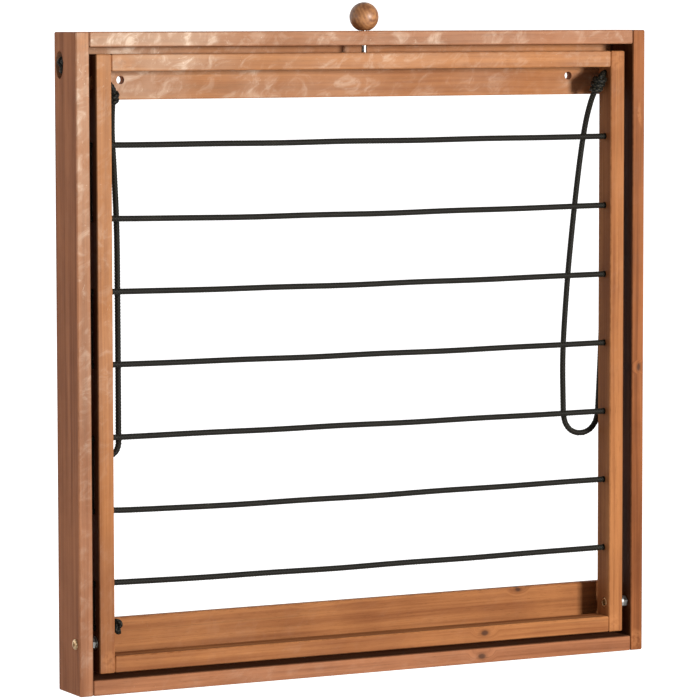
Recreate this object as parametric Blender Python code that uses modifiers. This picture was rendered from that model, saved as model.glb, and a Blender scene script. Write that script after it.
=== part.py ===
"""Wall drying rack that folds down: an outer box frame on the wall, and an inner frame strung with line.

The rack turns about two bolts near its lower corners. A drop pin with a ball knob locks it upright,
and two rope stays stop it just above level. Metres, +Z up, -Y is the front, and the wall is at Y = 0.
"""

import math

import bmesh
import bpy
from mathutils import Matrix, Vector

# Outer frame
WIDTH = 0.610
HEIGHT = 0.617
DEPTH = 0.051
BOARD = 0.0135
BOTTOM_BOARD = 0.015
# Battens that carry the screws to the wall
BATTEN = 0.009
BATTEN_HEIGHT = 0.050
WALL_HOLE_X = 0.242
WALL_HOLE_DROP = 0.045
WALL_HOLE_R = 0.004
# Rack: the inner frame, which hangs a little to the left because the right washer is thicker
RACK_WIDTH = 0.567
RACK_SHIFT = -0.0015
RACK_TOP_GAP = 0.007
RACK_BOTTOM_GAP = 0.0055
RACK_DEPTH = 0.024
BAR = 0.0155
# Drying line, one length laced through the stiles
LINES = 7
LINE_D = 0.0055
FIRST_LINE_DROP = 0.1045
LINE_PITCH = 0.0681
LINE_HOLE_R = 0.0034
TAIL_DROP = 0.5545
# Pivot bolts
PIVOT_DEPTH = 0.0105
PIVOT_DROP = 0.5685
BOLT_R = 0.0030
BOLT_HEAD_R = 0.0052
BOLT_HEAD = 0.0021
BOLT_HEAD_DOME = 0.0012
SOCKET_R = 0.0023
SOCKET_DEPTH = 0.0013
BOLT_END = 0.0040
INSERT_R = 0.0048
NUT = 0.0046
NUT_R = 0.0058
WASHER_R = 0.0065
# Drop latch
LATCH_DEPTH = 0.014
PIN_R = 0.0026
PIN_REACH = 0.0315
PIN_POINT = 0.0010
PIN_IN_KNOB = 0.0120
KNOB_R = 0.014
KNOB_FOOT_R = 0.005
# Rope stays
STAY_D = 0.0055
STAY_HOLE_R = 0.0034
STAY_WALL_DEPTH = 0.0345
STAY_WALL_DROP = 0.0305
STAY_RACK_DEPTH = 0.012
STAY_RACK_DROP = {"left": 0.047, "right": 0.042}
KNOT_R = 0.0064
STOPPER_POCKET = 0.007
RACK_KNOT = (0.0072, 0.0064, 0.0090)
RACK_KNOT_SAG = 0.0042
NECK = 0.009
POCKET_DEPTH = 0.0385
POCKET = (0.008, 0.017, 0.026)
# Corner dowels
DOWEL_R = 0.0030
DOWEL_IN_SIDE = 0.0085
DOWEL_IN_RAIL = 0.0160

GAP = 0.0003
EDGE = 0.0010
TOP = BOARD + BATTEN_HEIGHT / 2

INNER = WIDTH / 2 - BOARD
RACK_LEFT = RACK_SHIFT - RACK_WIDTH / 2
RACK_RIGHT = RACK_SHIFT + RACK_WIDTH / 2
RACK_TOP = BOARD + RACK_TOP_GAP
RACK_BOTTOM = HEIGHT - BOTTOM_BOARD - RACK_BOTTOM_GAP
LINE_DEPTH = RACK_DEPTH / 2

# The stays' routes, as (distance from the middle, depth, drop) for points on a smooth curve.
# Each is in four lengths: a long leg and a short bend from the wall side, and the same from the rack.
STAY_ROUTES = {
    "right": {
        "wall_leg": [(0.2912, 0.0345, 0.0305), (0.2882, 0.0345, 0.0305), (0.2824, 0.0344, 0.0356),
                     (0.2796, 0.0342, 0.0470), (0.2790, 0.0340, 0.0900), (0.2786, 0.0336, 0.1700),
                     (0.2774, 0.0334, 0.2500), (0.2750, 0.0334, 0.3200), (0.2722, 0.0336, 0.3799)],
        "wall_tip": [(0.2722, 0.0336, 0.3799), (0.2698, 0.0338, 0.3894), (0.2635, 0.0340, 0.3969),
                     (0.2555, 0.0340, 0.3999), (0.2525, 0.0340, 0.3999)],
        "rack_tip": [(0.2525, 0.0340, 0.3999), (0.2495, 0.0340, 0.3999), (0.2415, 0.0340, 0.3969),
                     (0.2352, 0.0340, 0.3894), (0.2328, 0.0340, 0.3799)],
        "rack_leg": [(0.2328, 0.0340, 0.3799), (0.2322, 0.0340, 0.3200), (0.2368, 0.0340, 0.2500),
                     (0.2436, 0.0340, 0.1850), (0.2500, 0.0328, 0.1300), (0.2538, 0.0285, 0.0930),
                     (0.2556, 0.0210, 0.0705), (0.2570, 0.0150, 0.0590)],
    },
    "left": {
        "wall_leg": [(0.2912, 0.0345, 0.0305), (0.2884, 0.0345, 0.0305), (0.2832, 0.0344, 0.0352),
                     (0.2808, 0.0342, 0.0470), (0.2813, 0.0344, 0.0900), (0.2826, 0.0349, 0.1700),
                     (0.2839, 0.0354, 0.2500), (0.2851, 0.0358, 0.3240), (0.2862, 0.0362, 0.3862)],
        "wall_tip": [(0.2862, 0.0362, 0.3862), (0.2840, 0.0362, 0.3924), (0.2783, 0.0362, 0.3968),
                     (0.2716, 0.0362, 0.3987), (0.2675, 0.0362, 0.3987)],
        "rack_tip": [(0.2675, 0.0362, 0.3987), (0.2634, 0.0362, 0.3987), (0.2567, 0.0362, 0.3968),
                     (0.2510, 0.0362, 0.3924), (0.2488, 0.0362, 0.3862)],
        "rack_leg": [(0.2488, 0.0362, 0.3862), (0.2490, 0.0356, 0.3240), (0.2494, 0.0350, 0.2500),
                     (0.2502, 0.0342, 0.1850), (0.2534, 0.0320, 0.1300), (0.2572, 0.0275, 0.0980),
                     (0.2598, 0.0215, 0.0775), (0.2610, 0.0175, 0.0670)],
    },
}


def place(x, depth, drop):
    """A point from its distance right of the middle, behind the front and below the top."""
    return Vector((x, depth - DEPTH, TOP - drop))


def material(name, colour, roughness, metallic=0.0):
    made = bpy.data.materials.new(name)
    made.use_nodes = True
    shader = made.node_tree.nodes["Principled BSDF"]
    shader.inputs["Base Color"].default_value = (*colour, 1.0)
    shader.inputs["Roughness"].default_value = roughness
    shader.inputs["Metallic"].default_value = metallic
    return made


def collection(name):
    made = bpy.data.collections.new(name)
    bpy.context.scene.collection.children.link(made)
    return made


def add_object(name, data, group, finish, parent=None):
    made = bpy.data.objects.new(name, data)
    group.objects.link(made)
    if finish:
        data.materials.append(finish)
    if parent:
        made.parent = parent
        made.matrix_parent_inverse = parent.matrix_world.inverted()
    return made


def box_mesh(name, low, high):
    mesh = bpy.data.meshes.new(name)
    form = bmesh.new()
    bmesh.ops.create_cube(form, size=1.0)
    size, middle = high - low, (high + low) / 2
    size = Vector(abs(side) for side in size)
    bmesh.ops.transform(form, matrix=Matrix.LocRotScale(middle, None, size), verts=form.verts)
    form.to_mesh(mesh)
    form.free()
    return mesh


def rounded_mesh(name, start, end, radii, steps=20):
    """A round bar or taper from start to end, closed at both ends."""
    mesh = bpy.data.meshes.new(name)
    form = bmesh.new()
    run = end - start
    bmesh.ops.create_cone(form, cap_ends=True, segments=steps, radius1=radii[0], radius2=radii[1],
                          depth=run.length)
    turn = Vector((0, 0, 1)).rotation_difference(run)
    bmesh.ops.transform(form, matrix=Matrix.LocRotScale((start + end) / 2, turn, None), verts=form.verts)
    form.to_mesh(mesh)
    form.free()
    mesh.shade_smooth()
    mesh.set_sharp_from_angle(angle=math.radians(35))
    return mesh


def ball_mesh(name, centre, radii):
    mesh = bpy.data.meshes.new(name)
    form = bmesh.new()
    bmesh.ops.create_uvsphere(form, u_segments=14, v_segments=8, radius=1.0)
    bmesh.ops.transform(form, matrix=Matrix.LocRotScale(centre, None, Vector(radii)), verts=form.verts)
    form.to_mesh(mesh)
    form.free()
    mesh.shade_smooth()
    return mesh


def ease_edges(made):
    bevel = made.modifiers.new("eased_edges", "BEVEL")
    bevel.width = EDGE
    bevel.segments = 1
    bevel.limit_method = "ANGLE"


def cutter(mesh):
    made = add_object(mesh.name, mesh, cutters, None)
    made.hide_render = True
    made.display_type = "WIRE"
    return made


def combine(made, meshes, operation):
    for mesh in meshes:
        step = made.modifiers.new(mesh.name, "BOOLEAN")
        step.operation = operation
        step.solver = "EXACT"
        step.object = cutter(mesh)


def bar(name, low, high, parent, cuts=()):
    """A wooden bar between two corners, with eased edges and its holes."""
    made = add_object(name, box_mesh(name, low, high), pieces, timber, parent)
    ease_edges(made)
    combine(made, cuts, "DIFFERENCE")
    return made


def bore(name, start, end, radius):
    return rounded_mesh(name, start, end, (radius, radius))


def smooth_path(points, spacing):
    """Points about spacing apart on a Catmull-Rom curve through the route's own points."""
    ends = [2 * points[0] - points[1], *points, 2 * points[-1] - points[-2]]
    path = []
    for a, b, c, d in zip(ends, ends[1:], ends[2:], ends[3:]):
        count = max(1, round((c - b).length / spacing))
        for step in range(count):
            t = step / count
            path.append(0.5 * (2 * b + (c - a) * t + (2 * a - 5 * b + 4 * c - d) * t ** 2
                               + (3 * b - a - 3 * c + d) * t ** 3))
    return path + [points[-1]]


def tube(name, path, diameter, finish, parent, round_start=False, round_end=False):
    """A cord as a bevelled curve with its ends capped, square or round. A round end turns about its
    own centre without touching the cord next to it."""
    radius = diameter / 2
    turns = [math.radians(degrees) for degrees in (15, 35, 60, 90)]
    cap = [(radius * (1 - math.cos(turn)), math.sin(turn)) for turn in turns]
    inner = [(point, 1.0) for point in path[1:-1]]
    ends = []
    for end, inward, is_round in ((path[0], path[1], round_start), (path[-1], path[-2], round_end)):
        along = (inward - end).normalized()
        ends.append([(end + along * back, share) for back, share in (cap if is_round else [(0, 1.0)])])
    rings = ends[0] + inner + ends[1][::-1]
    curve = bpy.data.curves.new(name, "CURVE")
    curve.dimensions = "3D"
    curve.bevel_depth = radius
    curve.bevel_resolution = 2
    curve.use_fill_caps = True
    spline = curve.splines.new("POLY")
    spline.points.add(len(rings) - 1)
    for point, (at, share) in zip(spline.points, rings):
        point.co = (*at, 1.0)
        point.radius = share
    return add_object(name, curve, pieces, finish, parent)


def trimmed(path, start, end):
    """The path with its ends drawn back, so that it meets its neighbours without touching."""
    path = list(path)
    if start:
        path[0] = path[0] + (path[1] - path[0]).normalized() * start
    if end:
        path[-1] = path[-1] + (path[-2] - path[-1]).normalized() * end
    return path


def pivot_empty(name, at, parent=None):
    made = bpy.data.objects.new(name, None)
    made.location = at
    pieces.objects.link(made)
    bpy.context.view_layer.update()
    if parent:
        made.parent = parent
        made.matrix_parent_inverse = parent.matrix_world.inverted()
        bpy.context.view_layer.update()
    return made


def line_drop(number):
    """How far below the top a run of line is, counting from 0."""
    return FIRST_LINE_DROP + number * LINE_PITCH


def line_path(number):
    """One run of line from stile to stile: each run sags a little, and no two alike."""
    left, right = RACK_LEFT + GAP / 2, RACK_RIGHT - (STOPPER_POCKET if number == 0 else GAP / 2)
    sag = 0.0006 + 0.0005 * (number * 3 % 4)
    lean = 0.34 + 0.06 * (number % 5)
    points = []
    for step in range(17):
        share = step / 16
        free = max(0.0, min(1.0, (share - 0.03) / 0.94))
        hang = math.sin(math.pi * free ** (math.log(0.5) / math.log(lean)))
        points.append(place(left + (right - left) * share, LINE_DEPTH, line_drop(number) + sag * hang))
    return points


def dowels(name, ends, drops, depth, parent):
    """One dowel at each corner, half in the upright and half in the rail."""
    corners = [(edge, into, drop) for edge, into in ends for drop in drops]
    for count, (edge, into, drop) in enumerate(corners, 1):
        low = place(edge - into * (DOWEL_IN_SIDE - GAP), depth, drop)
        high = place(edge + into * (DOWEL_IN_RAIL - GAP), depth, drop)
        pin = rounded_mesh(f"{name}_{count}", low, high, (DOWEL_R - GAP, DOWEL_R - GAP), 12)
        add_object(f"{name}_{count}", pin, pieces, beech, parent)


def dowel_bore(name, edge, into, drop, depth):
    return bore(name, place(edge - into * DOWEL_IN_SIDE, depth, drop),
                place(edge + into * DOWEL_IN_RAIL, depth, drop), DOWEL_R)


def make_outer_frame(frame):
    rail_drops = (BOARD / 2, HEIGHT - BOTTOM_BOARD / 2)
    for side, sign in (("left", -1), ("right", 1)):
        inner, outer = sign * INNER, sign * WIDTH / 2
        cuts = []
        for count, drop in enumerate(rail_drops):
            cuts.append(dowel_bore(f"side_{side}_dowel_{count}", inner, -sign, drop, DEPTH / 2))
        past = sign * EDGE
        cuts.append(bore(f"side_{side}_pivot_hole", place(inner - past, PIVOT_DEPTH, PIVOT_DROP),
                         place(outer + past, PIVOT_DEPTH, PIVOT_DROP), BOLT_R + GAP))
        cuts.append(bore(f"side_{side}_stay_hole", place(inner - past, STAY_WALL_DEPTH, STAY_WALL_DROP),
                         place(outer + past, STAY_WALL_DEPTH, STAY_WALL_DROP), STAY_HOLE_R))
        pocket = bore(f"side_{side}_pocket", place(outer - sign * POCKET[0], POCKET_DEPTH, STAY_WALL_DROP),
                      place(outer + past, POCKET_DEPTH, STAY_WALL_DROP), POCKET[1] / 2)
        middle, stretch = TOP - STAY_WALL_DROP, POCKET[2] / POCKET[1]
        for corner in pocket.vertices:
            corner.co.z = middle + (corner.co.z - middle) * stretch
        cuts.append(pocket)
        low = place(min(inner, outer), 0, HEIGHT)
        high = place(max(inner, outer), DEPTH, 0)
        bar(f"frame_side_{side}", low, high, frame, cuts)
    for name, top, thick, row in (("top", 0, BOARD, 0), ("bottom", HEIGHT - BOTTOM_BOARD, BOTTOM_BOARD, 1)):
        cuts = []
        for sign in (-1, 1):
            cuts.append(dowel_bore(f"rail_{name}_dowel_{sign}", sign * INNER, -sign, rail_drops[row],
                                   DEPTH / 2))
        if name == "top":
            cuts.append(bore("latch_hole", place(0, LATCH_DEPTH, -EDGE), place(0, LATCH_DEPTH, BOARD + EDGE),
                             PIN_R + GAP))
        bar(f"frame_rail_{name}", place(GAP - INNER, 0, top + thick), place(INNER - GAP, DEPTH, top),
            frame, cuts)
    dowels("frame_dowel", ((-INNER, 1), (INNER, -1)), rail_drops, DEPTH / 2, frame)


def make_battens(frame):
    ends = INNER - GAP
    front = DEPTH - BATTEN
    cuts = [bore(f"wall_hole_{sign}", place(sign * WALL_HOLE_X, front - EDGE, WALL_HOLE_DROP),
                 place(sign * WALL_HOLE_X, DEPTH + EDGE, WALL_HOLE_DROP), WALL_HOLE_R) for sign in (-1, 1)]
    top = BOARD + GAP
    bar("wall_batten_top", place(-ends, front, BOARD + BATTEN_HEIGHT), place(ends, DEPTH, top), frame, cuts)
    low = HEIGHT - BOTTOM_BOARD - GAP
    bar("wall_batten_bottom", place(-ends, front, low), place(ends, DEPTH, low - BATTEN_HEIGHT), frame)


def make_rack(rack):
    rail_drops = (RACK_TOP + BAR / 2, RACK_BOTTOM - BAR / 2)
    inner_left, inner_right = RACK_LEFT + BAR, RACK_RIGHT - BAR
    for side, sign, inner, outer in (("left", -1, inner_left, RACK_LEFT),
                                     ("right", 1, inner_right, RACK_RIGHT)):
        past = sign * EDGE
        cuts = []
        for count, drop in enumerate(rail_drops):
            cuts.append(dowel_bore(f"stile_{side}_dowel_{count}", inner, -sign, drop, LINE_DEPTH))
        cuts.append(bore(f"stile_{side}_insert_hole", place(inner - past, PIVOT_DEPTH, PIVOT_DROP),
                         place(outer + past, PIVOT_DEPTH, PIVOT_DROP), INSERT_R + GAP))
        drops = [line_drop(number) for number in range(LINES)] + ([TAIL_DROP] if side == "left" else [])
        for count, drop in enumerate(drops):
            cuts.append(bore(f"stile_{side}_line_hole_{count}", place(inner - past, LINE_DEPTH, drop),
                             place(outer + past, LINE_DEPTH, drop), LINE_HOLE_R))
        stay_drop = STAY_RACK_DROP[side]
        cuts.append(bore(f"stile_{side}_stay_hole", place(inner - past, STAY_RACK_DEPTH, stay_drop),
                         place(outer + past, STAY_RACK_DEPTH, stay_drop), STAY_HOLE_R))
        cuts.append(bore(f"stile_{side}_stay_pocket",
                         place(outer - sign * STOPPER_POCKET, STAY_RACK_DEPTH, stay_drop),
                         place(outer + past, STAY_RACK_DEPTH, stay_drop), KNOT_R + GAP))
        if side == "right":
            cuts.append(bore("stile_right_start_pocket",
                             place(outer - STOPPER_POCKET, LINE_DEPTH, FIRST_LINE_DROP),
                             place(outer + past, LINE_DEPTH, FIRST_LINE_DROP), KNOT_R + GAP))
        low = place(min(inner, outer), 0, RACK_BOTTOM)
        high = place(max(inner, outer), RACK_DEPTH, RACK_TOP)
        bar(f"rack_stile_{side}", low, high, rack, cuts)
    for name, top, row in (("top", RACK_TOP, 0), ("bottom", RACK_BOTTOM - BAR, 1)):
        cuts = []
        for edge, into in ((inner_left, 1), (inner_right, -1)):
            cuts.append(dowel_bore(f"rack_{name}_dowel_{into}", edge, into, rail_drops[row], LINE_DEPTH))
        if name == "top":
            cuts.append(bore("strike_hole", place(0, LATCH_DEPTH, RACK_TOP - EDGE),
                             place(0, LATCH_DEPTH, RACK_TOP + BAR + EDGE), PIN_R + 2 * GAP))
        bar(f"rack_rail_{name}", place(inner_left + GAP, 0, top + BAR),
            place(inner_right - GAP, RACK_DEPTH, top), rack, cuts)
    dowels("rack_dowel", ((inner_left, 1), (inner_right, -1)), rail_drops, LINE_DEPTH, rack)


def lace(name, side, start, end, inwards, rack):
    """Line outside a stile, from one hole to another, and on through the second hole if inwards is set."""
    sign, face = (-1, RACK_LEFT) if side == "left" else (1, RACK_RIGHT)
    lead, bend = 0.0005, 0.0026
    quarter = [math.radians(angle) for angle in (0, 22.5, 45, 67.5, 90)]
    out = [(GAP / 2, 0)]
    out += [(lead + bend * math.sin(turn), bend * (1 - math.cos(turn))) for turn in quarter]
    points = [place(face + sign * x, LINE_DEPTH, start + down) for x, down in out]
    points += [place(face + sign * x, LINE_DEPTH, end - down) for x, down in reversed(out)]
    if inwards:
        points.append(place(face - sign * inwards, LINE_DEPTH, end))
    tube(name, points, LINE_D, cord, rack)


def make_line(rack):
    for number in range(LINES):
        tube(f"line_{number + 1}", line_path(number), LINE_D, cord, rack)
    for number in range(LINES - 1):
        side = "left" if number % 2 == 0 else "right"
        lace(f"line_turn_{number + 1}", side, line_drop(number), line_drop(number + 1), 0, rack)
    lace("line_tail", "left", line_drop(LINES - 1), TAIL_DROP, BAR, rack)
    end = place(RACK_LEFT + BAR + KNOT_R + GAP, LINE_DEPTH, TAIL_DROP)
    add_object("line_end_knot", ball_mesh("line_end_knot", end, (KNOT_R - GAP, 0.0058, 0.0062)),
               pieces, cord, rack)
    start = place(RACK_RIGHT - STOPPER_POCKET / 2, LINE_DEPTH, FIRST_LINE_DROP)
    knot = ball_mesh("line_start_knot", start, (STOPPER_POCKET / 2 - GAP, 0.0058, 0.0058))
    add_object("line_start_knot", knot, pieces, cord, rack)


def make_pivots(frame, rack):
    for side, sign, face in (("left", -1, RACK_LEFT), ("right", 1, RACK_RIGHT)):
        def at(x):
            return place(x, PIVOT_DEPTH, PIVOT_DROP)

        outer, inner = sign * WIDTH / 2, sign * INNER
        stile_inner = face - sign * BAR
        head = rounded_mesh(f"bolt_{side}", at(outer + sign * GAP), at(outer + sign * BOLT_HEAD),
                            (BOLT_HEAD_R, BOLT_HEAD_R - BOLT_HEAD_DOME), 24)
        bolt = add_object(f"pivot_bolt_{side}", head, pieces, brass, frame)
        shank = bore(f"bolt_{side}_shank", at(outer + sign * EDGE), at(stile_inner + sign * BOLT_END), BOLT_R)
        combine(bolt, [shank], "UNION")
        socket = rounded_mesh(f"bolt_{side}_socket", at(outer + sign * (BOLT_HEAD - SOCKET_DEPTH)),
                              at(outer + sign * (BOLT_HEAD + EDGE)), (SOCKET_R, SOCKET_R), 6)
        combine(bolt, [socket], "DIFFERENCE")
        nut_end = inner - sign * (GAP + NUT)
        for name, start, end, radius, steps, finish, body in (
                ("nut", inner - sign * GAP, nut_end, NUT_R, 6, steel, frame),
                ("washer", nut_end - sign * GAP, face + sign * GAP, WASHER_R, 24, steel, frame),
                ("insert", face, stile_inner, INSERT_R, 20, brass, rack)):
            ring = add_object(f"pivot_{name}_{side}",
                              rounded_mesh(f"{name}_{side}", at(start), at(end), (radius, radius), steps),
                              pieces, finish, body)
            hole = bore(f"{name}_{side}_bore", at(start + sign * EDGE), at(end - sign * EDGE), BOLT_R + GAP)
            combine(ring, [hole], "DIFFERENCE")


def make_latch(latch):
    pin = rounded_mesh("latch_pin", place(0, LATCH_DEPTH, PIN_REACH - EDGE),
                       place(0, LATCH_DEPTH, -PIN_IN_KNOB), (PIN_R, PIN_R), 16)
    made = add_object("latch_pin", pin, pieces, steel, latch)
    tip = rounded_mesh("latch_pin_tip", place(0, LATCH_DEPTH, PIN_REACH),
                       place(0, LATCH_DEPTH, PIN_REACH - 1.5 * EDGE), (PIN_R - PIN_POINT, PIN_R), 16)
    combine(made, [tip], "UNION")
    profile = bpy.data.meshes.new("latch_knob")
    form = bmesh.new()
    foot_turn = math.asin(KNOB_FOOT_R / KNOB_R)
    centre = KNOB_R * math.cos(foot_turn)
    rings = 12
    outline = [Vector((0, 0, centre + KNOB_R))]
    for step in range(1, rings + 1):
        turn = (math.pi - foot_turn) * step / rings
        outline.append(Vector((KNOB_R * math.sin(turn), 0, centre + KNOB_R * math.cos(turn))))
    outline.append(Vector((0, 0, 0)))
    points = [form.verts.new(point) for point in outline]
    for a, b in zip(points, points[1:]):
        form.edges.new((a, b))
    form.to_mesh(profile)
    form.free()
    knob = add_object("latch_knob", profile, pieces, varnished, latch)
    knob.matrix_world = Matrix.Translation(place(0, LATCH_DEPTH, -GAP))
    turned = knob.modifiers.new("turned", "SCREW")
    turned.steps = turned.render_steps = 24
    turned.use_merge_vertices = True
    turned.merge_threshold = 0.0001
    turned.use_normal_calculate = True
    combine(knob, [bore("knob_bore", place(0, LATCH_DEPTH, EDGE),
                         place(0, LATCH_DEPTH, -PIN_IN_KNOB - EDGE / 2), PIN_R + GAP)],
            "DIFFERENCE")


def make_stays(frame, rack):
    for side, sign, face in (("left", -1, RACK_LEFT), ("right", 1, RACK_RIGHT)):
        route = {name: [place(sign * x, depth, drop) for x, depth, drop in points]
                 for name, points in STAY_ROUTES[side].items()}
        outer, inner = sign * WIDTH / 2, sign * INNER
        wall_knot = place(outer - sign * POCKET[0] / 2, STAY_WALL_DEPTH + 0.002, STAY_WALL_DROP)
        made = add_object(f"stay_wall_knot_{side}",
                          ball_mesh(f"wall_knot_{side}", wall_knot, (POCKET[0] / 2 - GAP, 0.0058, 0.0090)),
                          pieces, cord, frame)
        combine(made, [bore(f"wall_knot_{side}_tail", place(wall_knot.x, STAY_WALL_DEPTH, STAY_WALL_DROP),
                            place(inner, STAY_WALL_DEPTH, STAY_WALL_DROP), STAY_D / 2)], "UNION")

        stile_inner = face - sign * BAR
        start = route["rack_leg"][-1]
        inwards = (start - route["rack_leg"][-2]).normalized()
        middle = place(stile_inner - sign * RACK_KNOT[0] * 1.15, STAY_RACK_DEPTH,
                       STAY_RACK_DROP[side] + RACK_KNOT_SAG)
        made = add_object(f"stay_rack_knot_{side}", ball_mesh(f"rack_knot_{side}", middle, RACK_KNOT),
                          pieces, cord, rack)
        level = place(middle.x, STAY_RACK_DEPTH, STAY_RACK_DROP[side])
        stopper = place(face - sign * STOPPER_POCKET / 2, STAY_RACK_DEPTH, STAY_RACK_DROP[side])
        combine(made, [bore(f"rack_knot_{side}_stub", level, stopper, STAY_D / 2),
                       ball_mesh(f"rack_knot_{side}_stopper", stopper,
                                 (STOPPER_POCKET / 2 - GAP, 0.0058, 0.0058)),
                       bore(f"rack_knot_{side}_neck", start + inwards * NECK, start + inwards * GAP,
                            STAY_D / 2)], "UNION")

        # Each length turns about the centre of its own round end, next to the length it hangs from.
        ends = {"wall_leg": ((0, GAP), None), "rack_leg": ((GAP, 0), -1),
                "wall_tip": ((GAP, GAP / 2), 0), "rack_tip": ((GAP / 2, GAP), -1)}
        carriers = {}
        for name, (trim, pivot_end) in ends.items():
            path = trimmed(smooth_path(route[name], 0.0140 if name.endswith("leg") else 0.0035), *trim)
            at = path[0]
            if pivot_end is not None:
                inward = path[1] if pivot_end == 0 else path[-2]
                at = path[pivot_end] + (inward - path[pivot_end]).normalized() * STAY_D / 2
            parent = {"wall_leg": frame, "rack_leg": rack}.get(name) or carriers[name.replace("tip", "leg")]
            carriers[name] = pivot_empty(f"stay_{name}_pivot_{side}", at, parent)
            tube(f"stay_{name}_{side}", path, STAY_D, cord, carriers[name],
                 name in ("wall_tip", "rack_leg"), name != "wall_tip")


for leftover in list(bpy.data.objects):
    bpy.data.objects.remove(leftover, do_unlink=True)

pieces = collection("wall_drying_rack")
cutters = collection("cutters")

timber = material("timber", (0.46, 0.25, 0.15), 0.55)
beech = material("beech", (0.60, 0.45, 0.30), 0.60)
varnished = material("varnished", (0.30, 0.12, 0.05), 0.25)
cord = material("cord", (0.03, 0.03, 0.025), 0.80)
steel = material("steel", (0.55, 0.55, 0.55), 0.30, 1.0)
brass = material("brass", (0.60, 0.45, 0.22), 0.35, 1.0)

wall_frame = pivot_empty("wall_frame", (0, 0, 0))
fold = pivot_empty("rack_pivot", place(0, PIVOT_DEPTH, PIVOT_DROP), wall_frame)
latch_slide = pivot_empty("latch_slide", place(0, LATCH_DEPTH, 0), wall_frame)

make_outer_frame(wall_frame)
make_battens(wall_frame)
make_rack(fold)
make_line(fold)
make_pivots(wall_frame, fold)
make_latch(latch_slide)
make_stays(wall_frame, fold)
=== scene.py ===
"""Looks for a wall drying rack: oiled timber, black braided cord, and a varnished knob on a steel pin."""

import math

import bmesh
import bpy
from mathutils import Matrix, Vector


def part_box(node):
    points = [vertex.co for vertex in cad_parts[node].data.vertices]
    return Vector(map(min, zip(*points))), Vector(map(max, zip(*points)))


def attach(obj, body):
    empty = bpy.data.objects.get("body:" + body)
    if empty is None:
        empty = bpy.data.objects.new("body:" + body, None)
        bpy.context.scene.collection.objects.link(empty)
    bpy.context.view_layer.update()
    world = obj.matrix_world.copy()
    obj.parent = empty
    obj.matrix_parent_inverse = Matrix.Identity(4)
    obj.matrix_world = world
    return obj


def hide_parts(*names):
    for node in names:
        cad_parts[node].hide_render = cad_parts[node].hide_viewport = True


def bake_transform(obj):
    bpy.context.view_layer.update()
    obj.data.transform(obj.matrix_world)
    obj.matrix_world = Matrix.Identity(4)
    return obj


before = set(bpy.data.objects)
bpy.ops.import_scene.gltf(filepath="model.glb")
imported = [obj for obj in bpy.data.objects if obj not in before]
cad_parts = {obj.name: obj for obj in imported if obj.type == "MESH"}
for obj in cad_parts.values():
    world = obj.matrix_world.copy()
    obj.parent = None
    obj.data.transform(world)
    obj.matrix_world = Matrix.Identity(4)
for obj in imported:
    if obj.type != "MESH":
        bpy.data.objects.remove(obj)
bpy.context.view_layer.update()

# The rack hangs on a wall, so it is looked at from about the height of its own top edge,
# from the left and a long way back, which keeps its sides nearly parallel.
front_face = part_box("frame_side_left")[0][1]
top_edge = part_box("frame_side_left")[1][2]
VIEW_LENS = 205.83
VIEW_TURN = 0.4746
VIEW_DROP = 0.0840
VIEW_ROLL = -0.0015
VIEW_FROM = Vector((-1.7640, -3.3892, 0.0170))
lens = bpy.data.cameras.new("camera")
lens.lens = VIEW_LENS
lens.sensor_width = 36.0
lens.clip_end = 60.0
camera = bpy.data.objects.new("camera", lens)
camera.location = VIEW_FROM + Vector((0, front_face, top_edge))
looking = (Matrix.Rotation(-VIEW_TURN, 3, "Z") @ Matrix.Rotation(math.pi / 2 - VIEW_DROP, 3, "X")
           @ Matrix.Rotation(VIEW_ROLL, 3, "Z"))
camera.rotation_euler = looking.to_euler()
bpy.context.scene.collection.objects.link(camera)
bpy.context.scene.camera = camera


def place(x, depth, drop):
    """A point from its distance right of the middle, behind the front and below the top."""
    return Vector((x, front_face + depth, top_edge - drop))


def add_piece(name, mesh, finish=None):
    made = bpy.data.objects.new(name, mesh)
    bpy.context.scene.collection.objects.link(made)
    if finish:
        mesh.materials.clear()
        mesh.materials.append(finish)
    return made


# Shader sums are written as plain expressions on sockets. A value wraps one socket of a material,
# and numbers and other values combine with it into Math nodes.
def plug(material, socket, value):
    if isinstance(value, Value):
        material.node_tree.links.new(value.socket, socket)
    elif isinstance(value, (tuple, list, Vector)) and len(value) == 3 and socket.type == "RGBA":
        socket.default_value = (*value, 1.0)
    else:
        socket.default_value = value


class Value:
    """One socket, with the sums that the finishes use."""

    def __init__(self, material, socket):
        self.material = material
        self.socket = socket

    def math(self, operation, *others, clamp=False):
        return node(self.material, "ShaderNodeMath", {0: self, **dict(enumerate(others, 1))},
                    operation=operation, use_clamp=clamp)

    def __add__(self, other):
        return self.math("ADD", other)

    __radd__ = __add__

    def __mul__(self, other):
        return self.math("MULTIPLY", other)

    __rmul__ = __mul__

    def __sub__(self, other):
        return self.math("SUBTRACT", other)

    def __rsub__(self, other):
        return (self * -1.0).math("ADD", other)

    def __pow__(self, other):
        return self.math("POWER", other)

    def __abs__(self):
        return self.math("ABSOLUTE")

    def upto(self, other):
        return self.math("MINIMUM", other)

    def atleast(self, other):
        return self.math("MAXIMUM", other)

    def ramp(self, low, high, start=0.0, end=1.0):
        """Eased from start at low to end at high, and level beyond them."""
        return node(self.material, "ShaderNodeMapRange", {0: self, 1: low, 2: high, 3: start, 4: end},
                    interpolation_type="SMOOTHSTEP")


def node(material, kind, inputs=None, output=0, **settings):
    """Any node, from its type, its settings, and the values or links of its sockets."""
    made = material.node_tree.nodes.new(kind)
    for name, value in settings.items():
        setattr(made, name, value)
    for name, value in (inputs or {}).items():
        plug(material, made.inputs[name], value)
    return Value(material, made.outputs[output])


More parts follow.
